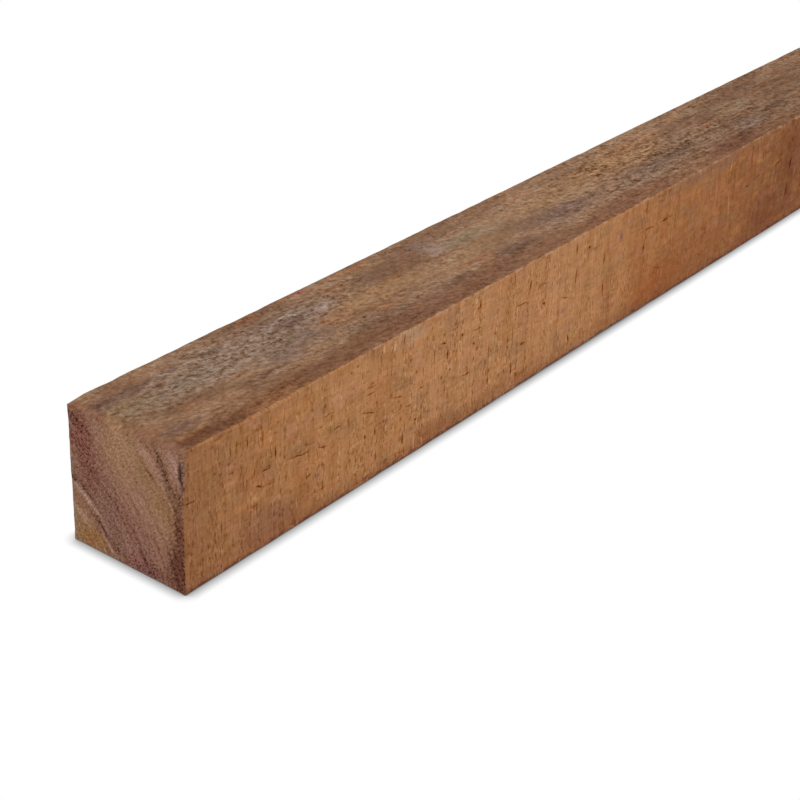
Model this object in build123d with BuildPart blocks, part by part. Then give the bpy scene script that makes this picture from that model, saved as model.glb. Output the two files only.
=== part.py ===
"""A length of rough-sawn hardwood, square in section, as it comes from the sawmill.

It is one piece of wood, so it is one solid. It lies on its bottom face with the grain along X.
The origin is on the floor under the middle of the beam, the clean sawn side faces -Y, and the near
end, where the end grain shows, faces -X.
"""

import os
from math import radians, tan

from build123d import *

os.makedirs("parts", exist_ok=True)

# Stock size in mm: a 70 x 70 section, 2.5 m long
LENGTH = 2500.0
WIDTH = 70.0
HEIGHT = 70.0

# Rounding of the four long arrises, in mm: the saw left them sharp and handling has worn them
TOP_FRONT_RADIUS = 1.0
TOP_BACK_RADIUS = 1.8
BOTTOM_FRONT_RADIUS = 1.4
BOTTOM_BACK_RADIUS = 1.6

# The near end was cross-cut a little out of square, in degrees
NEAR_END_SKEW = 0.52  # turned across the width, so that the back stands further in than the front
NEAR_END_LEAN = 1.35  # leaning back over the height, so that the top stands further in

# Rounding of the sawn edges round each end, in mm
END_EDGE_RADIUS = 0.6

# Worn stretch of the top front arris, in mm: it fades in and out along the grain
ARRIS_WEAR_START = 8.0  # from the near end
ARRIS_WEAR_LENGTH = 86.0
ARRIS_WEAR_RUN = 9.0  # how far it reaches over the top
ARRIS_WEAR_DROP = 1.7  # how far it reaches down the side

# Worn upper edge of the near end, in mm: it fades in and out across the width
END_WEAR_START = 7.0  # from the front face
END_WEAR_LENGTH = 62.0
END_WEAR_RUN = 5.0  # how far it reaches along the top
END_WEAR_DROP = 3.2  # how far it reaches down the end

# A worn place is deepest in its middle, starts and ends clear of the rounded edge, and is slightly
# rounded. Each station is a share of its length and a share of its full run and drop.
WEAR_STATIONS = ((0, 0.03), (0.5, 1), (1, 0.03))
WEAR_BULGE = 0.6  # a half would be a straight bevel

# Drying split in the near end beside the top front arris, in mm and degrees
SPLIT_HEIGHT = 15.0
SPLIT_GAP = 0.9
SPLIT_DEPTH = 28.0
SPLIT_FROM_FRONT = 2.6  # to its middle
SPLIT_FROM_TOP = 11.0  # to its middle
SPLIT_SLANT = 7.5  # its upper end leans away from the front face

OVERCUT = 2.0  # how far the worn places are cut past the faces, in mm


# The near cut passes through the lowest front corner and looks into the wood. On it, x is the
# distance from the front face and y the distance up from the floor.
skew = tan(radians(NEAR_END_SKEW))
lean = tan(radians(NEAR_END_LEAN))
near_cut = Plane(
    origin=(-LENGTH / 2, -WIDTH / 2, 0),
    x_dir=(skew, 1, 0),
    z_dir=(1, -skew, -lean),
)


def top_edge_x(from_front):
    """Where the near cut meets the top face, at a distance from the front face."""
    return -LENGTH / 2 + skew * from_front + lean * HEIGHT


def wear_section(edge_plane, run, drop):
    """A section of what wear has taken off an edge: the plane's origin is the sharp corner."""
    with BuildSketch(edge_plane) as taken_off:
        with BuildLine():
            nearness = 1 - WEAR_BULGE
            worn = ThreePointArc((run, 0), (run * nearness, -drop * nearness), (0, -drop))
            Polyline(worn @ 1, (-OVERCUT, -drop), (-OVERCUT, OVERCUT), (run, OVERCUT), worn @ 0)
        make_face()
    return taken_off.sketch.face()


with BuildPart() as beam:
    # The sawn section, with each arris rounded by its own wear
    with BuildSketch(Plane.YZ.offset(-LENGTH / 2)) as section:
        Rectangle(WIDTH, HEIGHT, align=(Align.CENTER, Align.MIN))
        for across, up, radius in (
            (-WIDTH / 2, HEIGHT, TOP_FRONT_RADIUS),
            (WIDTH / 2, HEIGHT, TOP_BACK_RADIUS),
            (-WIDTH / 2, 0, BOTTOM_FRONT_RADIUS),
            (WIDTH / 2, 0, BOTTOM_BACK_RADIUS),
        ):
            fillet(section.vertices().sort_by_distance((across, up))[0], radius)
    extrude(amount=LENGTH)

    # The two cross-cuts: the far end is left square, and both have their edges eased
    split(bisect_by=near_cut, keep=Keep.TOP)
    for end_face in (beam.faces().sort_by(Axis.X)[0], beam.faces().sort_by(Axis.X)[-1]):
        fillet(end_face.edges(), END_EDGE_RADIUS)

    # Worn stretch of the top front arris
    stretch = []
    for share, depth in WEAR_STATIONS:
        from_end = ARRIS_WEAR_START + share * ARRIS_WEAR_LENGTH
        corner = (top_edge_x(0) + from_end, -WIDTH / 2, HEIGHT)
        arris = Plane(origin=corner, x_dir=(0, 1, 0), z_dir=(1, 0, 0))
        stretch.append(wear_section(arris, depth * ARRIS_WEAR_RUN, depth * ARRIS_WEAR_DROP))
    loft(stretch, mode=Mode.SUBTRACT)

    # Worn upper edge of the near end
    stretch = []
    for share, depth in WEAR_STATIONS:
        from_front = END_WEAR_START + share * END_WEAR_LENGTH
        corner = (top_edge_x(from_front), from_front - WIDTH / 2, HEIGHT)
        end_edge = Plane(origin=corner, x_dir=(1, 0, 0), z_dir=(0, -1, 0))
        stretch.append(wear_section(end_edge, depth * END_WEAR_RUN, depth * END_WEAR_DROP))
    loft(stretch, mode=Mode.SUBTRACT)

    # Drying split: a narrow diamond in the cut face, closing to a point inside the wood
    split_middle = Vector(SPLIT_FROM_FRONT, HEIGHT - SPLIT_FROM_TOP)
    with BuildSketch(near_cut, mode=Mode.PRIVATE) as split_mouth:
        with Locations(split_middle):
            half_gap = Vector(SPLIT_GAP / 2, 0)
            half_height = Vector(0, SPLIT_HEIGHT / 2)
            Polygon(half_height, half_gap, -half_height, -half_gap, rotation=-SPLIT_SLANT, align=None)
    split_tip = near_cut.from_local_coords(split_middle + Vector(0, 0, SPLIT_DEPTH))
    loft((split_mouth.sketch.face(), Vertex(*split_tip)), mode=Mode.SUBTRACT)
beam.part.label = "beam"

export_step(beam.part, "parts/beam.step")
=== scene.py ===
import math

import bmesh
import bpy
from mathutils import Matrix, Vector, noise


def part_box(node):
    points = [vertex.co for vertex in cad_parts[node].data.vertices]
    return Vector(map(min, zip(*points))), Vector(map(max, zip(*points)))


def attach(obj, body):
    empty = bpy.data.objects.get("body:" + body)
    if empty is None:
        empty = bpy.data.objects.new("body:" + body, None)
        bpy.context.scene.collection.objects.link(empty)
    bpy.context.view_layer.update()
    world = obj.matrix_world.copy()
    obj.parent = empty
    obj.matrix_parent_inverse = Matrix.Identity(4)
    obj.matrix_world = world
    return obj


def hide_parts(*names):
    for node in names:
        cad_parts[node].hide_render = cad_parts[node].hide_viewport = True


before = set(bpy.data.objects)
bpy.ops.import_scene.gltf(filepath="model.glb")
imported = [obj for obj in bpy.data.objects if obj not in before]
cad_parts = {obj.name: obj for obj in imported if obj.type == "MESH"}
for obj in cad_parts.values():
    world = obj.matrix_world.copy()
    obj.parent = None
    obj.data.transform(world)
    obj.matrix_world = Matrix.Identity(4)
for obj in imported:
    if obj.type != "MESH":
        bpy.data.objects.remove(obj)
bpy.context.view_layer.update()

# The camera. It stands where the photograph was taken from, left of the near end and in front of
# the clean sawn side, looking down along the beam. Places are in metres in the beam's own frame.
CAMERA_PLACE = Vector((-1.67334, -0.46994, 0.42088))
CAMERA_FORWARD = Vector((0.70078, 0.53336, -0.47375))
CAMERA_ROLL = math.radians(1.347)
CAMERA_LENS = 76.53  # mm, on a sensor 36 mm wide

camera = bpy.data.objects.new("camera", bpy.data.cameras.new("camera"))
bpy.context.scene.collection.objects.link(camera)
bpy.context.scene.camera = camera
camera.data.lens = CAMERA_LENS
camera.data.sensor_width = 36
camera.data.clip_start = 0.01
camera.data.clip_end = 200
looking = CAMERA_FORWARD.to_track_quat("-Z", "Y").to_matrix()
turned = Matrix.Rotation(CAMERA_ROLL, 3, "Z")
camera.matrix_world = Matrix.Translation(CAMERA_PLACE) @ (looking @ turned).to_4x4()

# The sawn length. One piece of dense red-brown hardwood, sawn square on four sides with a band saw
# and cross-cut by hand at the near end, so that end is a little out of square. Nothing is fixed to
# it: it lies on the floor by its own weight. The mesh is in metres, and its finish in millimetres.
MM = 0.001
low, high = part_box("beam")
LENGTH = high.x - low.x
WIDTH = high.y - low.y
HEIGHT = high.z - low.z
END_SKEW = math.tan(math.radians(0.52))  # the back of the near end stands further in
END_LEAN = math.tan(math.radians(1.35))  # its top stands further in
SKEW_REACH = 60 * MM  # the rings of the mesh are square again this far from the near end
CORNER_LOSS = 2.0 * MM  # its top front corner is worn further in still
CORNER_REACH = 20 * MM  # back from the front, over the upper half of the end

CELLS = 32  # squares across each of the four faces
CROWDING = 0.7  # how much smaller the squares at the arrises are
FINE_STEP = 1.0 * MM  # length of a square near the camera
FINE_REACH = 250 * MM  # how far from the near end they stay that short
STEP_GROWTH = 0.007  # how much longer each is for every unit further on
COARSE_STEP = 9 * MM
EDGE_STEP = 0.3 * MM  # length of the first square at each end


def crowded(share):
    """A share of a face's breadth, with the grid lines crowded towards both arrises."""
    return share - CROWDING * math.sin(math.tau * share) / math.tau


def make_stations():
    """Places along the beam of the rings of the mesh, measured from the near end."""
    places = [0.0]
    while places[-1] < LENGTH:
        reached = places[-1]
        wanted = FINE_STEP + max(0, reached - FINE_REACH) * STEP_GROWTH
        from_ends = min(reached, max(0, LENGTH - reached))
        places.append(reached + min(wanted, COARSE_STEP, EDGE_STEP + 0.4 * from_ends))
    stretch = LENGTH / places[-1]
    return [place * stretch for place in places]


stations = make_stations()
last = len(stations) - 1
ring_size = 4 * CELLS


def faces_round(number):
    """How many faces' breadths a place of the ring is from the lowest front corner, going up."""
    face, step = divmod(round(number), CELLS)
    return face + crowded(step / CELLS)


def on_ring(number):
    """Place on the sharp square section."""
    face, run = divmod(faces_round(number) % 4, 1)
    return (
        (-WIDTH / 2, run * HEIGHT),
        (run * WIDTH - WIDTH / 2, HEIGHT),
        (WIDTH / 2, HEIGHT - run * HEIGHT),
        (WIDTH / 2 - run * WIDTH, 0),
    )[int(face)]


# The wood's skin is one grid wrapped round the section. Its flat map lays the four faces side by
# side, in three lengths above each other, with the two ends beside them.
LAID_LENGTHS = 3
MAP_MARGIN = 6 * MM
MAP_SIDE = LENGTH / LAID_LENGTHS + HEIGHT + 3 * MAP_MARGIN
wood = bmesh.new()
flat_map = wood.loops.layers.uv.new("OFBake")
grid = {"x_segments": last, "y_segments": ring_size, "size": 0.5, "calc_uvs": True}
for vertex in bmesh.ops.create_grid(wood, **grid)["verts"]:
    station = stations[round((vertex.co.x + 0.5) * last)]
    vertex.co = (low.x + station, *on_ring((vertex.co.y + 0.5) * ring_size))
for face in wood.faces:
    middle = (face.calc_center_median().x - low.x) / LENGTH
    laid = int(middle * LAID_LENGTHS)
    for loop in face.loops:
        run = loop.vert.co.x - low.x - laid * LENGTH / LAID_LENGTHS
        girth = 4 * WIDTH + MAP_MARGIN
        climb = laid * girth + faces_round(loop[flat_map].uv.y * ring_size) * WIDTH
        loop[flat_map].uv = Vector((run + MAP_MARGIN, climb + MAP_MARGIN)) / MAP_SIDE
for number, end_x in enumerate((low.x, high.x)):
    grid = {"x_segments": CELLS, "y_segments": CELLS, "size": 0.5, "calc_uvs": True}
    corner = Vector((MAP_SIDE - HEIGHT - MAP_MARGIN, MAP_MARGIN + number * (HEIGHT + MAP_MARGIN)))
    for vertex in bmesh.ops.create_grid(wood, **grid)["verts"]:
        across, up = (crowded(share + 0.5) for share in vertex.co.xy)
        for loop in vertex.link_loops:
            loop[flat_map].uv = (corner + Vector((across, up)) * HEIGHT) / MAP_SIDE
        vertex.co = (end_x, (across - 0.5) * WIDTH, up * HEIGHT)
bmesh.ops.remove_doubles(wood, verts=wood.verts, dist=0.01 * MM)
bmesh.ops.recalc_face_normals(wood, faces=wood.faces)

# Each arris has its own rounding and is chipped by its own depth, by the side and level it is on
ARRISES = {
    (-1, 1): (1.0 * MM, 0.4 * MM),
    (1, 1): (1.8 * MM, 0.35 * MM),
    (-1, -1): (1.4 * MM, 0.35 * MM),
    (1, -1): (1.6 * MM, 0.35 * MM),
}
LOW_WEAR = 2.0 * MM  # more rounding of the lowest front arris, over a stretch of it
LOW_WEAR_MIDDLE = 340 * MM
LOW_WEAR_REACH = 150 * MM
CHIP_LENGTH = 14 * MM
NICK_LENGTH = 4 * MM
END_EDGE_RADIUS = 0.6 * MM
SEED_STEP = 37.0  # keeps the patterns of different features apart


def grain_noise(place, along, across, seed):
    """Smooth noise from -1 to 1 at a place in the wood, with features along by across in metres."""
    spot = Vector((place[0] / along, place[1] / across + seed * SEED_STEP, place[2] / across))
    return noise.noise(spot)


def arris_radius(place, side, level):
    """How far an arris is rounded here: its own radius, and more where it is chipped."""
    radius, chip_depth = ARRISES[side, level]
    if side < 0 and level < 0:
        worn = max(0, 1 - abs(place[0] - low.x - LOW_WEAR_MIDDLE) / LOW_WEAR_REACH)
        radius += LOW_WEAR * worn
    chips = grain_noise(place, CHIP_LENGTH, 1, 1 + side + 3 * level)
    nicks = grain_noise(place, NICK_LENGTH, 1, 9 + side + 3 * level)
    chipped = max(0, chips - 0.12) * 2.2 + max(0, nicks - 0.25) * 1.2
    return radius * (0.75 + 0.25 * chips) + chip_depth * chipped


for vertex in wood.verts:
    place = vertex.co.copy()
    from_near = place.x - low.x
    from_far = high.x - place.x
    side = 1 if place.y > 0 else -1
    level = 1 if place.z > HEIGHT / 2 else -1

    # Round the arrises: the corner's circle is pushed out from inside the section
    radius = arris_radius(place, side, level)
    from_side = WIDTH / 2 - abs(place.y)
    from_level = HEIGHT / 2 - abs(place.z - HEIGHT / 2)
    if from_side < radius and from_level < radius:
        centre = Vector((side * (WIDTH / 2 - radius), HEIGHT / 2 + level * (HEIGHT / 2 - radius)))
        out = Vector((place.y, place.z)) - centre
        place.y, place.z = centre + out.normalized() * radius

    # Round the edges of the two ends in the same way
    inset = min(WIDTH / 2 - abs(place.y), HEIGHT / 2 - abs(place.z - HEIGHT / 2))
    end_radius = END_EDGE_RADIUS * (1 + 0.8 * grain_noise(place, 1, 3 * MM, 21))
    from_end = min(from_near, from_far)
    if from_end < end_radius and inset < end_radius:
        out = Vector((from_end - end_radius, inset - end_radius))
        if out.length > 0:
            out = out.normalized() * end_radius
            shrink = inset - (end_radius + out.y)
            place.x += (end_radius + out.x - from_end) * (1 if from_near < from_far else -1)
            if from_side < from_level:
                place.y += side * shrink
            else:
                place.z += level * shrink
    vertex.co = place

# Relief: the top is torn by the saw, and the clean sides are faintly waved across by its teeth.
# All of it goes into the wood, and the arrises stay straight. Waves as fine as the saw's stop where
# the rings of the mesh are too far apart for them.
TORN_DEPTH = 0.5 * MM
HOLLOW_DEPTH = 0.5 * MM
SAW_DEPTH = 0.16 * MM
SAW_REACH = 700 * MM  # how far from the near end the saw's waves fade out
ARRIS_REACH = 7 * MM  # how far from an arris the relief has its full depth

wood.normal_update()
for vertex in wood.verts:
    place = vertex.co
    normal = vertex.normal
    top_share = max(0, normal.z) ** 2
    side_share = 1 - top_share - normal.x**2
    from_arris = WIDTH / 2 - min(abs(place.y), abs(place.z - HEIGHT / 2))
    inside = min(1, 0.15 + from_arris / ARRIS_REACH)
    torn = 0.5 + grain_noise(place, 8 * MM, 2.6 * MM, 41) * 0.6
    hollows = 0.5 + grain_noise(place, 42 * MM, 15 * MM, 42) * 0.6
    bowed = 0.5 + grain_noise(place, 160 * MM, 40 * MM, 43) * 0.6
    saw = 0.5 + grain_noise(place, 2.6 * MM, 34 * MM, 44) * 0.6
    saw *= max(0, 1 - (place.x - low.x) / SAW_REACH)
    depth = top_share * (TORN_DEPTH * torn + HOLLOW_DEPTH * hollows)
    depth += side_share * (SAW_DEPTH * saw + HOLLOW_DEPTH * bowed * 0.6)
    depth += normal.x**2 * SAW_DEPTH * torn
    vertex.co = place - normal * depth * inside

# Worn places round the top of the near end: a stretch of the top front arris, the upper edge of the
# end, and the back corner. Each is pressed in from above, deepest at the edge itself.
ARRIS_WEAR_START = 8 * MM  # from the near end
ARRIS_WEAR_LENGTH = 86 * MM
ARRIS_WEAR_RUN = 9 * MM  # how far it reaches over the top
ARRIS_WEAR_DROP = 12 * MM  # how far it reaches down the side
ARRIS_WEAR_DEPTH = 1.7 * MM
END_WEAR_START = 7 * MM  # from the front
END_WEAR_LENGTH = 62 * MM
END_WEAR_RUN = 7 * MM
END_WEAR_DROP = 14 * MM
END_WEAR_DEPTH = 2.6 * MM
BACK_WEAR_LENGTH = 10 * MM  # from the near end
BACK_WEAR_RUN = 7 * MM
BACK_WEAR_DROP = 9 * MM
BACK_WEAR_DEPTH = 1.2 * MM


def press_in(run_share, drop_share):
    """How much of its full depth a worn place has at shares of its run and its drop."""
    return max(0, 1 - run_share) ** 1.4 * max(0, 1 - drop_share)


for vertex in wood.verts:
    place = vertex.co
    from_near = place.x - low.x
    from_front = place.y + WIDTH / 2
    from_back = WIDTH - from_front
    below_top = HEIGHT - place.z
    share = (from_near - ARRIS_WEAR_START) / ARRIS_WEAR_LENGTH
    if 0 < share < 1:
        depth = ARRIS_WEAR_DEPTH * math.sin(math.pi * share)
        place.z -= depth * press_in(from_front / ARRIS_WEAR_RUN, below_top / ARRIS_WEAR_DROP)
    share = (from_front - END_WEAR_START) / END_WEAR_LENGTH
    if 0 < share < 1 and from_near < END_WEAR_RUN:
        uneven = 1 + 0.9 * grain_noise(place, 1, 5 * MM, 31)
        depth = END_WEAR_DEPTH * math.sin(math.pi * share) * uneven
        place.z -= depth * press_in(from_near / END_WEAR_RUN, below_top / END_WEAR_DROP)
    depth = BACK_WEAR_DEPTH * max(0, 1 - from_near / BACK_WEAR_LENGTH)
    place.z -= depth * press_in(from_back / BACK_WEAR_RUN, below_top / BACK_WEAR_DROP)

# The near end's cut out of square
for vertex in wood.verts:
    place = vertex.co
    from_front = place.y + WIDTH / 2
    loss = max(0, 2 * place.z / HEIGHT - 1) * max(0, 1 - from_front / CORNER_REACH)
    setback = END_SKEW * from_front + END_LEAN * place.z + CORNER_LOSS * loss
    place.x += setback * max(0, 1 - (place.x - low.x) / SKEW_REACH)

mesh = bpy.data.meshes.new("sawn_beam")
wood.to_mesh(mesh)
wood.free()
beam = bpy.data.objects.new("sawn_beam", mesh)
bpy.context.scene.collection.objects.link(beam)

# Drying split in the near end beside the top front arris. A slim ragged wedge is cut out of the
# wood: it narrows to both its ends and to a point inside.
SPLIT_HEIGHT = 15 * MM
SPLIT_GAP = 0.9 * MM
SPLIT_DEPTH = 28 * MM
SPLIT_OVERCUT = 3 * MM  # how far the wedge stands out of the end
SPLIT_FROM_FRONT = 2.6 * MM  # to its middle
SPLIT_FROM_TOP = 11 * MM  # to its middle
SPLIT_SLANT = math.radians(7.5)  # its upper end leans away from the front
SPLIT_RAGGED = 0.3 * MM
SPLIT_ON_MAP = Vector((0.93, 0.5))  # where its walls lie on the flat map, above the two ends
SPLIT_MAP_SCALE = 0.05

wedge = bmesh.new()
wedge_map = wedge.loops.layers.uv.new("OFBake")
bmesh.ops.create_cone(
    wedge, cap_ends=True, segments=4, radius1=0.5, radius2=0, depth=1, calc_uvs=True
)
bmesh.ops.subdivide_edges(wedge, edges=wedge.edges, cuts=7, use_grid_fill=True)
bmesh.ops.translate(wedge, verts=wedge.verts, vec=(0, 0, 0.5))
wedge_size = (SPLIT_GAP, SPLIT_HEIGHT, SPLIT_DEPTH + SPLIT_OVERCUT)
bmesh.ops.scale(wedge, verts=wedge.verts, vec=wedge_size)
upright = Matrix(((0, 0, 1), (1, 0, 0), (0, 1, 0)))
lean_over = Matrix.Rotation(-SPLIT_SLANT, 3, "X")
bmesh.ops.rotate(wedge, verts=wedge.verts, matrix=lean_over @ upright)
wedge_x = low.x + END_LEAN * HEIGHT - SPLIT_OVERCUT
wedge_place = (wedge_x, low.y + SPLIT_FROM_FRONT, high.z - SPLIT_FROM_TOP)
bmesh.ops.translate(wedge, verts=wedge.verts, vec=wedge_place)
for vertex in wedge.verts:
    vertex.co.y += SPLIT_RAGGED * grain_noise(vertex.co, 6 * MM, 2.2 * MM, 51)
for face in wedge.faces:
    for loop in face.loops:
        loop[wedge_map].uv = SPLIT_ON_MAP + loop[wedge_map].uv * SPLIT_MAP_SCALE
bmesh.ops.recalc_face_normals(wedge, faces=wedge.faces)
wedge_mesh = bpy.data.meshes.new("split_wedge")
wedge.to_mesh(wedge_mesh)
wedge.free()
wedge_object = bpy.data.objects.new("split_wedge", wedge_mesh)
bpy.context.scene.collection.objects.link(wedge_object)
cut = beam.modifiers.new("split", "BOOLEAN")
cut.operation = "DIFFERENCE"
cut.solver = "EXACT"
cut.object = wedge_object
mesh = bpy.data.meshes.new_from_object(beam.evaluated_get(bpy.context.evaluated_depsgraph_get()))
beam.modifiers.remove(cut)
beam.data = mesh
mesh.name = "sawn_beam"
bpy.data.objects.remove(wedge_object)
for face in mesh.polygons:
    face.use_smooth = True
mesh.set_sharp_from_angle(angle=math.radians(55))

# The finish of the wood. Its places are in millimetres from the lowest front corner of the near
# end: along the grain, back from the clean sawn side, and up from the floor.
hardwood = bpy.data.materials.new("sawn_hardwood")
hardwood.use_nodes = True
tree = hardwood.node_tree
LONG = LENGTH / MM
WIDE = WIDTH / MM
TALL = HEIGHT / MM


def add_node(kind, sockets, **settings):
    """A node of the finish, with its settings made and its input sockets linked or filled.

    Sockets go by name, or by number where several of a node's sockets share a name.
    """
    made = tree.nodes.new(kind)
    for name, value in settings.items():
        setattr(made, name, value)
    for name, value in sockets.items():
        if isinstance(value, bpy.types.NodeSocket):
            tree.links.new(value, made.inputs[name])
        else:
            made.inputs[name].default_value = value
    return made


def reckon(operation, *values):
    """Arithmetic on values of the finish."""
    return add_node("ShaderNodeMath", dict(enumerate(values)), operation=operation).outputs[0]


def combine(operation, *vectors):
    """Arithmetic on places or colours of the finish."""
    made = add_node("ShaderNodeVectorMath", dict(enumerate(vectors)), operation=operation)
    return made.outputs["Value" if operation in ("LENGTH", "DISTANCE", "DOT_PRODUCT") else "Vector"]


def fade(value, start, end, least=0.0, most=1.0):
    """A soft step from least to most, as value goes from start to end."""
    sockets = {"Value": value, "From Min": start, "From Max": end, "To Min": least, "To Max": most}
    return add_node("ShaderNodeMapRange", sockets, interpolation_type="SMOOTHSTEP").outputs[0]


def both(first, second):
    """A share that is as large as its two parts allow."""
    return reckon("MULTIPLY", first, second)


def swing(value, amount, middle=0.0):
    """A pattern about a half, turned into a swing about a middle."""
    return reckon("MULTIPLY_ADD", value, amount, middle - amount / 2)


def added(*values):
    """The sum of several values."""
    total = values[0]
    for value in values[1:]:
        total = reckon("ADD", total, value)
    return total


def lowest_of(*values):
    """The least of several distances."""
    least = values[0]
    for value in values[1:]:
        least = reckon("MINIMUM", least, value)
    return least


def cover(share, under, over):
    """One colour laid over another as far as share says."""
    if not isinstance(over, bpy.types.NodeSocket):
        over = (*over, 1)
    return add_node("ShaderNodeMix", {0: share, 6: under, 7: over}, data_type="RGBA").outputs[2]


def between(share, under, over):
    """A value between two others."""
    return add_node("ShaderNodeMix", {0: share, 2: under, 3: over}, data_type="FLOAT").outputs[0]


def mark(colour, strength, tint):
    """A colour with light and dark marks. The tint is how much they change red, green and blue."""
    return combine("MULTIPLY", colour, combine("MULTIPLY_ADD", strength, tint, (1, 1, 1)))


def tones(value, stops):
    """Colours that run into each other along a line. Each stop is a place on it and a colour."""
    start = stops[0][0]
    reach = stops[-1][0] - start
    share = reckon("DIVIDE", reckon("SUBTRACT", value, start), reach)
    ramp = add_node("ShaderNodeValToRGB", {0: share})
    elements = ramp.color_ramp.elements
    elements[0].color = (*stops[0][1], 1)
    elements[-1].color = (*stops[-1][1], 1)
    for spot, colour in stops[1:-1]:
        elements.new((spot - start) / reach).color = (*colour, 1)
    return ramp.outputs[0]


coordinates = tree.nodes.new("ShaderNodeTexCoord").outputs["Object"]
corner = (-low.x / MM, -low.y / MM, 0)
spot_sockets = {"Vector": coordinates, "Location": corner, "Scale": (1 / MM,) * 3}
place = add_node("ShaderNodeMapping", spot_sockets).outputs[0]
along, back, up = add_node("ShaderNodeSeparateXYZ", {0: place}).outputs


def in_frame(place, middle, lengths, turn=(0, 0, 0)):
    """A place seen from a middle, in turned axes, as shares of lengths along them."""
    sockets = {"Vector": place, "Location": middle, "Rotation": turn, "Scale": lengths}
    return add_node("ShaderNodeMapping", sockets, vector_type="TEXTURE").outputs[0]


def pattern(seed, lengths, detail=2.0, harsh=0.5, turn=(0, 0, 0)):
    """Noise about a half, whose marks have these lengths along X, Y and Z, turned by turn."""
    offset = [seed * SEED_STEP * length for length in lengths]
    spot = in_frame(place, offset, lengths, turn)
    sockets = {"Vector": spot, "Scale": 1.0, "Detail": detail, "Roughness": harsh}
    return add_node("ShaderNodeTexNoise", sockets).outputs["Fac"]


def oval(place, middle, halves, turn=(0, 0, 0), soft=0.8):
    """How far a place is inside an oval: nought outside its rim, and one in its middle."""
    spot = {"Vector": in_frame(place, middle, halves, turn)}
    inside = add_node("ShaderNodeTexGradient", spot, gradient_type="SPHERICAL").outputs["Fac"]
    return fade(inside, 0, soft)


# Which of the six faces a place is on: the one it is nearest to, with a ragged border
beneath = reckon("SUBTRACT", TALL, up)
before_back = reckon("SUBTRACT", WIDE, back)
corner_loss = both(fade(up, TALL / 2, TALL), fade(back, CORNER_REACH / MM, 0, 0, CORNER_LOSS / MM))
setback = added(both(back, END_SKEW), both(up, END_LEAN), corner_loss)
from_near = reckon("SUBTRACT", along, setback)
from_an_end = reckon("MINIMUM", from_near, reckon("SUBTRACT", LONG, along))
to_a_side = reckon("MINIMUM", back, before_back)
ragged = pattern(1, (5, 2, 2), 3.0)
near_share = fade(along, 150, 20)
top_lead = reckon("SUBTRACT", to_a_side, beneath)
top_lead = added(top_lead, both(swing(ragged, 3.0), added(0.4, near_share)))
on_top = fade(top_lead, -0.5, 0.7)
end_lead = reckon("SUBTRACT", lowest_of(to_a_side, beneath, up), from_an_end)
near_top = fade(beneath, 7, 1)
end_lead = added(end_lead, swing(ragged, 1.4), both(near_top, swing(ragged, 9, 1)))
on_end = fade(reckon("DIVIDE", end_lead, added(0.3, both(near_top, 2.2))), -1, 1)

# Marks that several faces share, and a place that is shifted about, for patches with ragged rims
wobble = add_node("ShaderNodeTexNoise", {"Vector": place, "Scale": 0.25, "Detail": 3.0})
wobble = combine("SUBTRACT", wobble.outputs["Color"], (0.5, 0.5, 0.5))
DRIFT = (22, 8, 8)
drift = combine("MULTIPLY_ADD", wobble, DRIFT, place)
SOFT_RIM = 1.25  # a patch's oval is this much larger than the patch, since it fades at its rim
grit = pattern(7, (1.9, 1.9, 1.9), 3.0, 0.75)

# The clean sawn sides: orange-tan, paler in the middle of what shows, redder further on. Dark marks
# in them are redder too, since the tint takes more green and blue away.
SIDE_TINT = (1, 1.52, 2.3)
side = tones(
    along,
    (
        (0, (0.280, 0.117, 0.044)),
        (40, (0.318, 0.139, 0.054)),
        (105, (0.378, 0.171, 0.065)),
        (180, (0.402, 0.190, 0.080)),
        (310, (0.404, 0.187, 0.075)),
        (385, (0.358, 0.144, 0.049)),
        (455, (0.302, 0.115, 0.038)),
        (540, (0.232, 0.081, 0.026)),
        (900, (0.310, 0.130, 0.050)),
        (1500, (0.360, 0.160, 0.066)),
        (2100, (0.320, 0.134, 0.052)),
        (LONG, (0.350, 0.155, 0.062)),
    ),
)
mottle = pattern(2, (20, 11, 11), 3.0)
side = cover(fade(mottle, 0.50, 0.70, 0, 0.55), side, (0.262, 0.132, 0.062))
side = cover(fade(mottle, 0.49, 0.30, 0, 0.50), side, (0.455, 0.190, 0.066))
flush = pattern(23, (13, 8, 8), 3.0)
side = cover(fade(flush, 0.52, 0.70, 0, 0.45), side, (0.345, 0.178, 0.058))
side = cover(fade(flush, 0.48, 0.30, 0, 0.45), side, (0.400, 0.170, 0.092))

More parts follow.
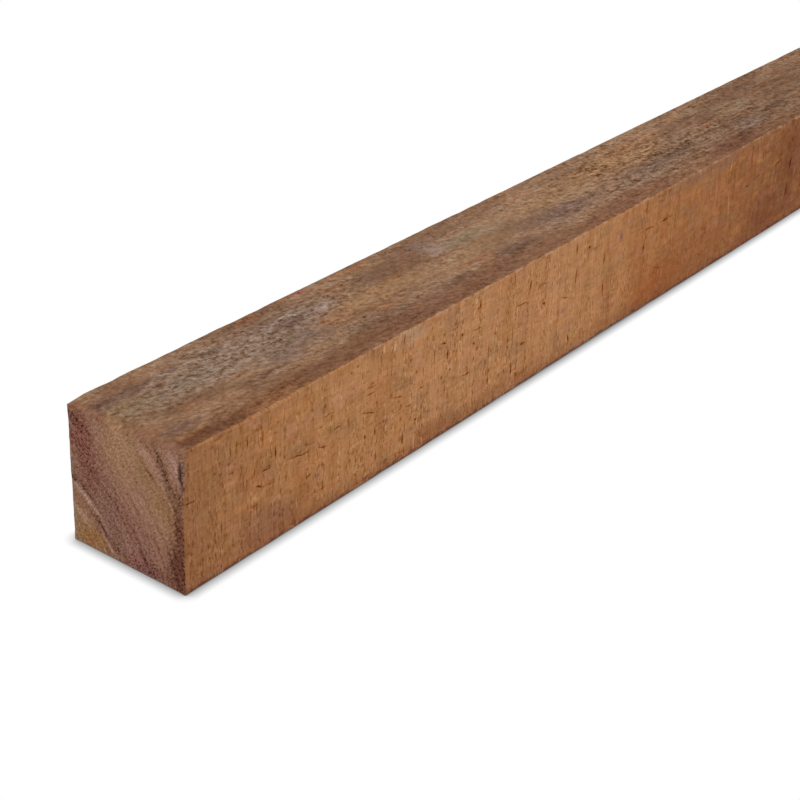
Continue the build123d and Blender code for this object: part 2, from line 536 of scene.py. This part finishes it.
# Broad tones of the clean side that show. Each has its middle along and up, half its length and
# height, its colour and its strength.
SIDE_PATCHES = (
    (8, 36, 16, 44, (0.225, 0.092, 0.034), 0.45),
    (56.5, 12, 27, 10, (0.222, 0.094, 0.052), 0.6),
    (75, 16, 9, 14, (0.300, 0.118, 0.036), 0.5),
    (44, 40, 12, 9, (0.330, 0.122, 0.040), 0.4),
    (109.5, 57, 17, 9, (0.430, 0.206, 0.098), 0.5),
    (112.5, 25, 15, 12, (0.415, 0.198, 0.078), 0.4),
    (130, 32, 10, 18, (0.325, 0.142, 0.048), 0.45),
    (156.5, 66, 15, 5, (0.370, 0.222, 0.135), 0.6),
    (173.5, 7, 20, 7, (0.245, 0.096, 0.032), 0.6),
    (201, 50, 18, 14, (0.420, 0.205, 0.090), 0.4),
    (270, 42, 28, 17, (0.455, 0.208, 0.092), 0.5),
    (339, 30, 8, 32, (0.305, 0.132, 0.048), 0.4),
    (391.5, 9, 36, 19, (0.292, 0.082, 0.020), 0.68),
    (370, 32, 9, 32, (0.300, 0.104, 0.032), 0.5),
    (433.5, 18, 52, 16, (0.262, 0.090, 0.028), 0.5),
    (455, 48, 24, 8, (0.335, 0.122, 0.045), 0.45),
    (443, 67, 62, 6, (0.225, 0.115, 0.066), 0.55),
    (523, 16, 26, 18, (0.172, 0.050, 0.018), 0.6),
    (560.5, 38, 20, 42, (0.165, 0.052, 0.018), 0.6),
)
for middle, height, half_length, half_height, colour, strength in SIDE_PATCHES:
    halves = (SOFT_RIM * half_length, WIDE, SOFT_RIM * half_height)
    patch = oval(drift, (middle, 0, height), halves)
    side = cover(both(patch, strength), side, colour)

# Their lower edges are dark and ragged: stain where the beam has lain on dirty ground, and painted
# shade where the side meets the floor
stain_and_shade_height = added(up, swing(pattern(3, (26, 12, 12), 3.0), -24))
side = cover(fade(stain_and_shade_height, 13, 0, 0, 0.55), side, (0.215, 0.078, 0.030))
rim_bites = pattern(24, (6, 2.5, 2.5), 3.0, 0.7)
low_rim_stain_and_shade = fade(added(up, swing(rim_bites, -13)), 3.4, 0.2, 0, 0.85)

# Marks of the band saw, upright over the whole height, and fibres along the grain
saw_fine = pattern(4, (1.5, 12, 12), 2.0, 0.65)
saw_broad = pattern(5, (6, 80, 80), 4.0, 0.7)
fibres = pattern(6, (11, 1.6, 1.6), 3.0, 0.65)
lumps = pattern(11, (8, 5, 5), 3.0, 0.6)
tick_columns = pattern(8, (3.0, 34, 34), 2.0)
ticks = pattern(9, (1.1, 3.2, 3.2), 2.0)
dark_ticks = both(fade(ticks, 0.53, 0.66), fade(tick_columns, 0.48, 0.58))
light_ticks = both(fade(ticks, 0.45, 0.34), fade(tick_columns, 0.46, 0.56))
specks = fade(pattern(30, (2.0, 1.5, 1.5), 1.0), 0.64, 0.75)
calm = fade(along, 230, 330, 1, 0.5)
streaks = fade(pattern(25, (1.5, 11, 11), 2.0), 0.53, 0.65)
edge_streaks = both(streaks, added(fade(beneath, 9, 1), fade(up, 6, 1, 0, 0.7)))
edge_streaks = both(edge_streaks, fade(pattern(28, (34, 34, 34)), 0.42, 0.56))
# Painted highlight: light dashes along the arrises between the top and the sides
arris_line = fade(reckon("ABSOLUTE", top_lead), 1.3, 0.3)
arris_painted_highlight = both(arris_line, both(fade(pattern(27, (9, 5, 5)), 0.48, 0.6), fade(along, 90, 140)))
side_marks = added(
    swing(saw_fine, 0.42),
    both(near_share, swing(saw_fine, 0.18)),
    swing(saw_broad, 0.58),
    swing(fibres, 0.34),
    swing(lumps, 0.40),
    swing(grit, 0.46),
    both(both(dark_ticks, calm), -0.27),
    both(light_ticks, 0.24),
    both(both(specks, calm), -0.25),
)

# Single marks in the clean side that show: drying cracks along the grain, and torn fibres across
# it. Each has its middle along and up, its length and breadth, its turn from the grain in degrees,
# and how much darker it is, or lighter where that is negative.
SIDE_MARKS = (
    (53, 39, 8, 1.0, -6, 0.3),
    (74.5, 36.4, 22, 1.0, -9, 0.32),
    (91, 33.6, 10, 1.0, -17, 0.3),
    (45, 41, 6, 1.6, 80, 0.36),
    (48, 32.5, 8, 1.3, -22, 0.36),
    (51, 56, 14, 1.4, 90, 0.26),
    (59, 45, 9, 1.5, 90, 0.42),
    (46, 21.5, 8, 1.4, 90, 0.3),
    (81, 23, 6, 1.4, 10, 0.36),
    (90, 44.5, 6, 1.3, 12, 0.3),
    (96, 48.5, 14, 1.1, 2, 0.26),
    (5, 44.5, 10, 1.2, 0, 0.34),
    (124.5, 37.3, 15, 1.0, -17, 0.32),
    (102, 39.3, 9, 1.0, -3, 0.3),
    (146, 36.8, 14, 1.0, -15, 0.28),
    (121.5, 25.5, 2.4, 2.0, 0, 0.4),
    (151, 66, 10, 1.8, 90, 0.3),
    (151, 12, 9, 1.8, 90, 0.34),
    (161, 44.5, 3, 2.6, 0, 0.34),
    (161, 18.5, 3, 2.2, 0, 0.36),
    (181.5, 33, 2.4, 2.2, 0, 0.38),
    (186, 45, 8, 2.2, 90, 0.36),
    (184.5, 26, 10, 1.5, 90, 0.26),
    (198, 50.7, 2.6, 2.2, 0, 0.45),
    (183, 51.5, 6, 1.3, -8, 0.36),
    (211, 49.2, 10, 1.2, -4, 0.34),
    (203, 26.8, 12, 1.2, -3, 0.3),
    (208.5, 42, 3, 2.4, -40, 0.4),
    (213, 62, 9, 2.2, 90, 0.34),
    (222, 32, 14, 1.7, 90, 0.26),
    (222, 16, 9, 1.8, 90, 0.32),
    (243, 65, 9, 1.8, 90, 0.3),
    (243.5, 32, 22, 1.7, 90, 0.26),
    (243.5, 14, 11, 2.2, 90, 0.34),
    (251, 48.5, 14, 1.3, -3, 0.32),
    (258, 57, 8, 2.4, 75, 0.34),
    (253, 25, 7, 2.4, 0, 0.3),
    (272, 41.5, 4, 2.6, -20, 0.36),
    (292.5, 37.5, 14, 1.1, -16, 0.24),
    (301.5, 63, 10, 2.2, 90, 0.3),
    (302.5, 46, 16, 2.4, 85, 0.34),
    (299, 11, 7, 2.0, 110, 0.42),
    (314.5, 60, 4, 2.0, 0, 0.42),
    (331, 48, 11, 2.2, 90, 0.32),
    (332, 29, 15, 1.9, 98, 0.34),
    (374.5, 65, 12, 2.2, 90, 0.36),
    (374, 40, 9, 2.0, 90, 0.32),
    (379.5, 50.5, 18, 1.4, -3, 0.34),
    (396.5, 50.3, 18, 1.2, 0, 0.24),
    (502.5, 60, 22, 2.4, 90, 0.2),
    (500, 40.5, 6, 1.6, -10, 0.45),
    (30.5, 58, 8, 1.3, 90, 0.28),
    (34, 57.5, 10, 1.2, 90, 0.28),
    (41, 58, 9, 1.3, 90, 0.28),
    (23.5, 23, 8, 1.4, 90, 0.26),
    (6, 24, 6, 1.3, 90, 0.26),
    (126, 47, 7, 1.2, 0, 0.3),
    (129, 25.5, 6, 1.5, 90, 0.3),
    (130, 11.5, 8, 1.6, 90, 0.3),
    (155.5, 28.5, 7, 1.2, -12, 0.3),
    (204, 28, 8, 1.6, 90, 0.26),
    (111.5, 63.5, 2.2, 1.8, -20, 0.3),
    (116, 65, 2.2, 1.8, -20, 0.3),
    (165, 34.5, 2.6, 1.8, -20, 0.3),
    (188.5, 35, 2.4, 1.9, 70, 0.32),
    (191.5, 44, 2.4, 1.9, 60, 0.3),
    (190, 53.5, 2.6, 1.8, 80, 0.3),
    (198, 57.5, 2.6, 1.8, 80, 0.3),
    (197.5, 30, 2.4, 1.9, 60, 0.3),
    (211.5, 38, 3, 1.8, 75, 0.3),
    (213, 57.5, 3, 1.8, 75, 0.3),
    (541.5, 45, 20, 1.8, 8, 0.34),
    (559.5, 40, 12, 3.4, 90, 0.45),
    (558.5, 21, 12, 3.0, 90, 0.34),
    (558.5, 57, 10, 2.6, 90, 0.3),
    (72.5, 12, 8, 1.6, 90, -0.3),
    (135.5, 66, 7, 2.6, 90, -0.32),
    (144, 64, 8, 2.4, 90, -0.3),
    (160, 6, 12, 1.6, 90, -0.34),
    (166.5, 5, 10, 1.6, 90, -0.34),
    (210, 64, 10, 1.8, 90, -0.26),
    (320, 62, 10, 2.2, 90, -0.24),
    (459, 50, 15, 1.4, 90, -0.26),
    (475, 62, 15, 1.6, 90, -0.34),
    (477, 36, 26, 1.8, 96, -0.32),
    (540.5, 33, 9, 2.0, 80, -0.3),
    (567.5, 32, 10, 2.2, 75, -0.36),
)
SHAKE = (1.6, 0, 1.6)
shaken = combine("MULTIPLY", combine("MULTIPLY_ADD", wobble, SHAKE, place), (1, 0, 1))
scars = 0.0
for middle, height, length, breadth, turn, strength in SIDE_MARKS:
    halves = (length / 2, 1, breadth / 2)
    scar = oval(shaken, (middle, 0, height), halves, (0, -math.radians(turn), 0))
    scars = added(scars, both(scar, strength))
on_front = fade(back, 3, 1)
scars = both(scars, both(on_front, fade(grit, 0.26, 0.54, 0.6, 1.7)))

# Fine cracks and marks elsewhere, at random, wherever a stretched pattern crosses a half
veins = reckon("ABSOLUTE", reckon("SUBTRACT", pattern(19, (30, 4.5, 4.5), 3.0), 0.5))
stray = both(fade(veins, 0.015, 0.002), fade(pattern(20, (20, 9, 9)), 0.53, 0.63))
side = mark(side, added(side_marks, both(scars, -1), both(stray, -0.28)), SIDE_TINT)
# Stain and painted shade along the lowest rim, where the side meets the floor
side = cover(low_rim_stain_and_shade, side, (0.125, 0.036, 0.022))
side = cover(both(edge_streaks, 0.42), side, (0.540, 0.325, 0.200))
purple_spot = oval(shaken, (348, 0, 55.5), (2.4, 1, 4))
side = cover(both(purple_spot, both(on_front, 0.8)), side, (0.19, 0.07, 0.062))

# The rough sawn top: weathered grey and tan, with fibres torn up by the saw
TOP_TINT = (1, 1.26, 1.55)
weathering = pattern(12, (60, 14, 14), 3.0)
top = cover(fade(weathering, 0.35, 0.65), (0.190, 0.098, 0.053, 1), (0.280, 0.155, 0.086))
redness = pattern(13, (26, 7, 7), 3.0)
top = cover(fade(redness, 0.53, 0.68, 0, 0.6), top, (0.300, 0.128, 0.054))
front_band = added(back, swing(pattern(14, (26, 8, 8), 3.0), -22))
top = cover(fade(front_band, 21, 3, 0, 0.68), top, (0.212, 0.090, 0.041))

# Patches of the top that show. Each has its middle along and back, half its length and breadth,
# its turn from the grain in degrees, its colour and its strength.
TOP_PATCHES = (
    (83, 47, 70, 19, 0, (0.285, 0.192, 0.135), 0.7),
    (129, 50, 34, 12, 0, (0.230, 0.152, 0.116), 0.6),
    (110, 33, 44, 9, 0, (0.225, 0.145, 0.104), 0.65),
    (96, 26, 16, 7, 0, (0.190, 0.118, 0.092), 0.6),
    (12, 56, 34, 6, 0, (0.155, 0.084, 0.058), 0.8),
    (14, 43, 24, 10, 0, (0.240, 0.152, 0.080), 0.7),
    (49, 42, 34, 9, 0, (0.240, 0.168, 0.120), 0.55),
    (6, 20, 14, 9, 0, (0.290, 0.148, 0.088), 0.6),
    (43, 19, 18, 7, 0, (0.295, 0.150, 0.080), 0.65),
    (17, 16, 12, 5, 0, (0.148, 0.078, 0.056), 0.75),
    (21, 5, 20, 5, 0, (0.128, 0.046, 0.020), 0.85),
    (40, 4, 14, 6, 0, (0.140, 0.052, 0.022), 0.8),
    (65, 4, 26, 6, 0, (0.250, 0.108, 0.043), 0.65),
    (96, 8, 26, 5, 0, (0.155, 0.066, 0.034), 0.65),
    (77, 21.5, 17, 2.2, 0, (0.100, 0.042, 0.020), 0.8),
    (394, 36, 120, 44, 0, (0.330, 0.180, 0.098), 0.3),
    (568, 36, 60, 44, 0, (0.190, 0.098, 0.056), 0.35),
    (70, 56, 9, 2.0, -48, (0.105, 0.058, 0.042), 0.75),
    (78, 55, 7, 3.0, -20, (0.125, 0.068, 0.050), 0.65),
    (47, 57, 7, 2.4, -42, (0.380, 0.272, 0.212), 0.6),
    (66, 51, 9, 2.4, -50, (0.370, 0.262, 0.200), 0.6),
    (36, 52, 7, 2.0, 45, (0.350, 0.240, 0.185), 0.55),
    (53, 58, 8, 3.0, 0, (0.150, 0.088, 0.064), 0.6),
    (124, 48, 10, 4, 0, (0.135, 0.072, 0.058), 0.65),
    (128, 54, 8, 2.5, 0, (0.400, 0.300, 0.240), 0.6),
    (148, 47, 8, 4, 0, (0.420, 0.310, 0.250), 0.45),
    (140, 34, 14, 7, 0, (0.350, 0.165, 0.082), 0.7),
    (175, 37, 42, 10, 0, (0.335, 0.178, 0.084), 0.75),
    (173, 49, 16, 7, 0, (0.315, 0.178, 0.098), 0.6),
    (236, 34, 54, 9, 0, (0.310, 0.172, 0.088), 0.65),
    (113, 66, 8, 4, 0, (0.270, 0.105, 0.045), 0.6),
    (150, 68, 8, 3, 0, (0.230, 0.066, 0.038), 0.6),
    (186, 52, 22, 5, 0, (0.195, 0.108, 0.070), 0.55),
    (210, 8, 120, 11, 0, (0.186, 0.083, 0.045), 0.65),
    (214, 17, 18, 4, 0, (0.115, 0.050, 0.030), 0.7),
    (157, 19, 30, 5, 0, (0.165, 0.088, 0.056), 0.6),
    (240, 48, 10, 7, 0, (0.370, 0.270, 0.225), 0.45),
    (236, 58, 16, 6, 0, (0.200, 0.124, 0.098), 0.55),
    (267, 46, 30, 8, 0, (0.265, 0.188, 0.112), 0.65),
    (271, 19, 24, 5, 0, (0.120, 0.060, 0.040), 0.7),
    (325, 27, 42, 10, 0, (0.165, 0.092, 0.066), 0.75),
    (346, 46, 44, 10, 0, (0.300, 0.162, 0.074), 0.65),
    (379, 7, 70, 9, 0, (0.195, 0.080, 0.040), 0.65),
    (416, 47, 50, 13, 0, (0.360, 0.185, 0.078), 0.6),
    (443, 55, 40, 9, 0, (0.300, 0.138, 0.062), 0.6),
    (406, 22, 40, 9, 0, (0.245, 0.152, 0.100), 0.65),
    (445, 27, 40, 5, 0, (0.130, 0.074, 0.054), 0.6),
    (493, 8, 44, 10, 0, (0.150, 0.058, 0.030), 0.7),
    (533, 20, 26, 8, 0, (0.235, 0.150, 0.108), 0.65),
    (553, 45, 24, 9, 0, (0.290, 0.185, 0.100), 0.6),
    (577, 24, 22, 3, 0, (0.080, 0.038, 0.024), 0.75),
)
for middle, across, half_length, half_breadth, turn, colour, strength in TOP_PATCHES:
    halves = (SOFT_RIM * half_length, SOFT_RIM * half_breadth, TALL)
    patch = oval(drift, (middle, across, TALL), halves, (0, 0, math.radians(turn)))
    top = cover(both(patch, strength), top, colour)

# Torn fibres, thickest behind the near end and over a stretch further on. Each thick place has its
# middle along and back, half its length and breadth, and how much more it is torn.
THICK_PLACES = (
    (90, 49, 110, 26, 0.5),
    (455, 26, 150, 24, 0.8),
    (430, 50, 90, 20, 0.5),
)
torn_zone = fade(pattern(22, (60, 18, 18)), 0.36, 0.6, 0.75, 1.1)
torn_zone = added(torn_zone, fade(along, 250, 400, 0, 0.3))
for middle, across, half_length, half_breadth, more in THICK_PLACES:
    thick = oval(drift, (middle, across, TALL), (half_length, half_breadth, TALL))
    torn_zone = added(torn_zone, both(thick, more))
torn = pattern(15, (7, 2.4, 2.4), 4.0, 0.72)
raked = pattern(16, (4.5, 2.0, 2.0), 4.0, 0.72, (0, 0, math.radians(-30)))
clumps = pattern(21, (12, 5, 5), 3.0, 0.6)
shreds = pattern(26, (5.5, 3.0, 3.0), 2.0, 0.55, (0, 0, math.radians(-18)))
strings = both(swing(pattern(29, (17, 2.2, 2.2), 3.0, 0.6), 1.0), fade(along, 300, 400, 0.35, 1))
whitish = both(both(fade(raked, 0.54, 0.67), fade(weathering, 0.42, 0.6)), fade(back, 6, 18))
pits = both(fade(torn, 0.41, 0.28), fade(clumps, 0.40, 0.60, 0.4, 1))
top_marks = added(swing(torn, 0.85), swing(raked, 0.85), swing(clumps, 0.45), swing(grit, 1.85))
top_marks = added(top_marks, swing(shreds, 0.6), strings, both(pits, -0.34))
far_tone = added(fade(along, 170, 310, 0, 0.11), fade(along, 480, 540, 0, -0.12))
top = mark(top, added(both(torn_zone, top_marks), far_tone), TOP_TINT)
top = cover(both(whitish, 0.42), top, (0.47, 0.37, 0.30))

# The cross-cut ends: growth rings round the heart of the tree, which lay below the back, and fine
# rays across them
END_TINT = (1, 1.45, 1.86)
HEART = (0, 110, -30)
RIPPLE = (0, 4, 4)
rippled = combine("MULTIPLY", combine("MULTIPLY_ADD", wobble, RIPPLE, place), (0, 1, 1))
rings = combine("DISTANCE", rippled, HEART)
growth_spot = add_node("ShaderNodeCombineXYZ", {0: rings, 1: both(up, 0.09), 2: both(along, 0.01)})
growth_sockets = {"Vector": growth_spot.outputs[0], "Scale": 0.42, "Detail": 4.0, "Roughness": 0.75}
growth_lines = add_node("ShaderNodeTexNoise", growth_sockets).outputs["Fac"]
end = tones(
    rings,
    (
        (50, (0.262, 0.132, 0.056)),
        (66, (0.255, 0.130, 0.070)),
        (74, (0.225, 0.112, 0.074)),
        (88, (0.218, 0.104, 0.070)),
        (96, (0.222, 0.104, 0.070)),
        (106, (0.262, 0.134, 0.082)),
        (118, (0.278, 0.146, 0.082)),
        (128, (0.262, 0.136, 0.080)),
        (150, (0.285, 0.152, 0.100)),
    ),
)

# Patches and lines of the near end that show. Each has its middle back and up, half its length and
# breadth, its turn in degrees from level towards the back, its colour and its strength.
END_PATCHES = (
    (36, 57, 17, 12, 60, (0.310, 0.168, 0.092), 0.7),
    (38, 44, 16, 9, 48, (0.288, 0.152, 0.088), 0.6),
    (28, 34, 14, 7, 50, (0.265, 0.134, 0.084), 0.5),
    (48, 22, 16, 9, 48, (0.190, 0.092, 0.066), 0.7),
    (36, 10, 12, 7, 48, (0.188, 0.092, 0.066), 0.6),
    (62, 57, 14, 9, 80, (0.165, 0.054, 0.038), 0.85),
    (58, 42, 13, 7, 72, (0.170, 0.062, 0.042), 0.8),
    (66, 62, 7, 4, 50, (0.115, 0.048, 0.030), 0.5),
    (70, 40, 10, 4, 90, (0.225, 0.132, 0.090), 0.7),
    (52, 65, 9, 5, 80, (0.262, 0.138, 0.100), 0.65),
    (28, 58, 13, 4, 52, (0.235, 0.124, 0.056), 0.5),
    (22, 51, 7, 5, 50, (0.235, 0.128, 0.048), 0.5),
    (13, 38, 12, 7, 60, (0.240, 0.128, 0.052), 0.6),
    (19, 59, 14, 3, 50, (0.315, 0.172, 0.115), 0.7),
    (6, 61, 11, 3.6, 82, (0.285, 0.152, 0.112), 0.85),
    (18, 17, 12, 6, 52, (0.250, 0.120, 0.084), 0.7),
    (66, 9, 12, 10, 0, (0.250, 0.142, 0.070), 0.7),
    (69, 16, 8, 3, 90, (0.250, 0.172, 0.105), 0.6),
    (57, 6, 10, 6, 0, (0.262, 0.112, 0.034), 0.7),
    (22, 4, 16, 5, 0, (0.150, 0.052, 0.044), 0.75),
    (30, 7, 6, 4, 0, (0.235, 0.090, 0.066), 0.5),
    (4, 10, 21, 8, 86, (0.086, 0.022, 0.012), 0.88),
    (2.5, 34, 20, 4.6, 86, (0.112, 0.036, 0.017), 0.85),
    (12.5, 58, 12, 2.8, 68, (0.125, 0.062, 0.038), 0.75),
    (7, 47, 10, 3.4, 62, (0.125, 0.054, 0.028), 0.7),
    (1.2, 57, 13, 1.6, 90, (0.115, 0.052, 0.030), 0.75),
    (61, 25.5, 13, 1.5, 36, (0.370, 0.215, 0.155), 0.95),
    (63, 15.5, 7, 2.4, 40, (0.340, 0.190, 0.125), 0.75),
    (68, 32.5, 3, 1.6, 40, (0.090, 0.046, 0.030), 0.85),
    (59, 28, 10, 1.3, 36, (0.125, 0.058, 0.038), 0.75),
    (51, 14, 8, 1.6, 42, (0.120, 0.048, 0.034), 0.8),
    (43, 7, 8, 1.5, 44, (0.120, 0.054, 0.034), 0.75),
    (46, 5, 10, 1.0, 44, (0.320, 0.185, 0.125), 0.65),
    (45, 32, 13, 1.1, 40, (0.128, 0.058, 0.040), 0.85),
    (45, 39, 9, 0.9, 38, (0.140, 0.064, 0.044), 0.8),
    (26, 14, 15, 1.2, 50, (0.155, 0.066, 0.048), 0.7),
    (24, 7, 9, 1.4, 52, (0.110, 0.040, 0.030), 0.8),
    (21, 53.5, 6, 1.0, 42, (0.150, 0.072, 0.044), 0.75),
)
on_near = fade(along, 100, 50)
for across, height, half_length, half_breadth, turn, colour, strength in END_PATCHES:
    halves = (1, SOFT_RIM * half_length, SOFT_RIM * half_breadth)
    patch = oval(rippled, (0, across, height), halves, (math.radians(turn), 0, 0))
    end = cover(both(both(patch, strength), on_near), end, colour)

rays = pattern(17, (40, 2.4, 0.9), 2.0, 0.65, (math.radians(138), 0, 0))
pores = pattern(18, (12, 1.1, 1.1), 2.0, 0.75)
dusky = fade(add_node("ShaderNodeSeparateColor", {0: end}).outputs[1], 0.14, 0.05, 0.8, 1.7)
stipple = added(swing(rays, 1.5), swing(pores, 1.6), swing(growth_lines, 1.4))
end = mark(end, both(stipple, dusky), END_TINT)

# Painted shade darkens the drying split, deep inside it and round its mouth, and the worn upper
# edge of the near end gathers dirt
split_middle = (0, SPLIT_FROM_FRONT / MM, TALL - SPLIT_FROM_TOP / MM)
split_painted_shade = both(oval(rippled, split_middle, (1, 1.3, 10), (-SPLIT_SLANT, 0, 0)), on_near)
worn_dirt = both(fade(from_near, 9, 0), fade(beneath, 7, 0))
colour = cover(on_end, cover(on_top, side, top), end)
colour = mark(colour, both(worn_dirt, -0.16), END_TINT)
# Painted highlight along the arrises of the top
colour = cover(both(arris_painted_highlight, 0.5), colour, (0.500, 0.300, 0.185))
# Painted shade inside the drying split and round its mouth
colour = cover(both(split_painted_shade, 0.85), colour, (0.045, 0.018, 0.011))

# Relief of the same marks
side_height = added(
    swing(saw_fine, 0.6, 0.5), swing(saw_broad, 0.6), swing(grit, 0.6), both(dark_ticks, -0.5)
)
top_height = added(swing(torn, 1.6, 0.5), swing(raked, 1.3), swing(shreds, 2.2), swing(grit, 0.9))
end_height = added(swing(rays, 0.9, 0.5), swing(pores, 0.9), swing(growth_lines, 0.7))
height = between(on_end, between(on_top, side_height, both(torn_zone, top_height)), end_height)
RELIEF = 0.6 * MM
bump_sockets = {"Height": height, "Distance": RELIEF, "Strength": 1.0}
bump = add_node("ShaderNodeBump", bump_sockets).outputs[0]
roughness = added(swing(grit, 0.3, 0.84), both(on_top, 0.08))

shader = tree.nodes["Principled BSDF"]
shader.inputs["Specular IOR Level"].default_value = 0.1
tree.links.new(colour, shader.inputs["Base Color"])
tree.links.new(roughness, shader.inputs["Roughness"])
tree.links.new(bump, shader.inputs["Normal"])

mesh.materials.append(hardwood)
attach(beam, "root")
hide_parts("beam")

# The floor. A plain white studio floor that the beam lies on. The camera sees it evenly white, and
# darker close to the beam, where the beam shuts out the light.
bpy.ops.mesh.primitive_plane_add(size=60)
floor = bpy.context.object
floor.name = "floor"
white_floor = bpy.data.materials.new("white_floor")
white_floor.use_nodes = True
floor_tree = white_floor.node_tree
floor_shader = floor_tree.nodes["Principled BSDF"]
floor_shader.inputs["Base Color"].default_value = (0.85, 0.85, 0.85, 1)
SHADE_REACH = 6.3 * MM  # how far from the beam the floor looks darker
SHADE_DEPTH = 1.4  # how dark it is beside the beam: one would be half as bright
shut_in = floor_tree.nodes.new("ShaderNodeAmbientOcclusion")
shut_in.samples = 16
shut_in.inputs["Distance"].default_value = SHADE_REACH
shade = floor_tree.nodes.new("ShaderNodeMath")
shade.operation = "POWER"
shade.inputs[1].default_value = SHADE_DEPTH
even_white = floor_tree.nodes.new("ShaderNodeEmission")
floor_tree.links.new(shut_in.outputs["AO"], shade.inputs[0])
floor_tree.links.new(shade.outputs[0], even_white.inputs["Strength"])


def seen_or_mirrored(some_tree):
    """One for the rays that show a background: the camera's, and those through gloss or glass."""
    paths = some_tree.nodes.new("ShaderNodeLightPath")
    total = paths.outputs["Is Camera Ray"]
    for name in ("Is Glossy Ray", "Is Transmission Ray"):
        more = some_tree.nodes.new("ShaderNodeMath")
        more.operation = "MAXIMUM"
        some_tree.links.new(total, more.inputs[0])
        some_tree.links.new(paths.outputs[name], more.inputs[1])
        total = more.outputs[0]
    return total


floor_mix = floor_tree.nodes.new("ShaderNodeMixShader")
floor_tree.links.new(seen_or_mirrored(floor_tree), floor_mix.inputs[0])
floor_tree.links.new(floor_shader.outputs[0], floor_mix.inputs[1])
floor_tree.links.new(even_white.outputs[0], floor_mix.inputs[2])
floor_tree.links.new(floor_mix.outputs[0], floor_tree.nodes["Material Output"].inputs["Surface"])
floor.data.materials.append(white_floor)

# Soft studio light: an even white surround, and one large soft lamp from the camera's side
world = bpy.data.worlds.new("studio")
bpy.context.scene.world = world
world.use_nodes = True
world_tree = world.node_tree
surround = world_tree.nodes["Background"]
surround.inputs["Color"].default_value = (1, 1, 1, 1)
surround.inputs["Strength"].default_value = 0.6
backdrop = world_tree.nodes.new("ShaderNodeBackground")
backdrop.inputs["Color"].default_value = (1, 1, 1, 1)
backdrop.inputs["Strength"].default_value = 1.0
world_mix = world_tree.nodes.new("ShaderNodeMixShader")
world_tree.links.new(seen_or_mirrored(world_tree), world_mix.inputs[0])
world_tree.links.new(surround.outputs[0], world_mix.inputs[1])
world_tree.links.new(backdrop.outputs[0], world_mix.inputs[2])
world_tree.links.new(world_mix.outputs[0], world_tree.nodes["World Output"].inputs["Surface"])

LAMP_AIM = Vector((-0.9, 0, 0.035))
LAMP_FROM = LAMP_AIM + Vector((-2.25, -2.0, 4.0))
lamp = bpy.data.objects.new("soft_lamp", bpy.data.lights.new("soft_lamp", "AREA"))
bpy.context.scene.collection.objects.link(lamp)
lamp.data.shape = "DISK"
lamp.data.size = 1.7
lamp.data.energy = 146
lamp.location = LAMP_FROM
lamp.rotation_euler = (LAMP_AIM - LAMP_FROM).to_track_quat("-Z", "Y").to_euler()

bpy.context.scene.view_settings.view_transform = "Standard"
